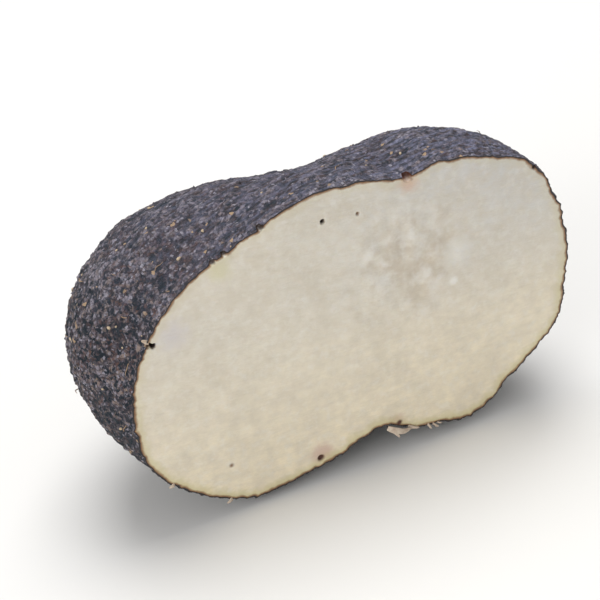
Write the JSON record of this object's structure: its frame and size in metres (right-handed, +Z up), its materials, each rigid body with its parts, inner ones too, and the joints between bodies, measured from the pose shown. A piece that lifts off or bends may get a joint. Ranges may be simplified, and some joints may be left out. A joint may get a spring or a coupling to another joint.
{
  "type": "mountain yam half",
  "caption": "Round knobbly mountain yam cut across: a flat pale cut face with a thin dark rough skin behind it, resting on its skin side with the cut upright.",
  "frame": {"origin": "on the surface the half rests on, under the middle of its bounding box", "axes": "+X along the cut face's width, +Y from the cut face into the tuber, +Z up; the cut face looks along -Y"},
  "size_m": [0.114, 0.0548, 0.0732],
  "materials": {
    "yam_skin": "matte"
  },
  "bodies": {
    "root": {"yam_half": "yam_skin"}
  },
  "joints": []
}
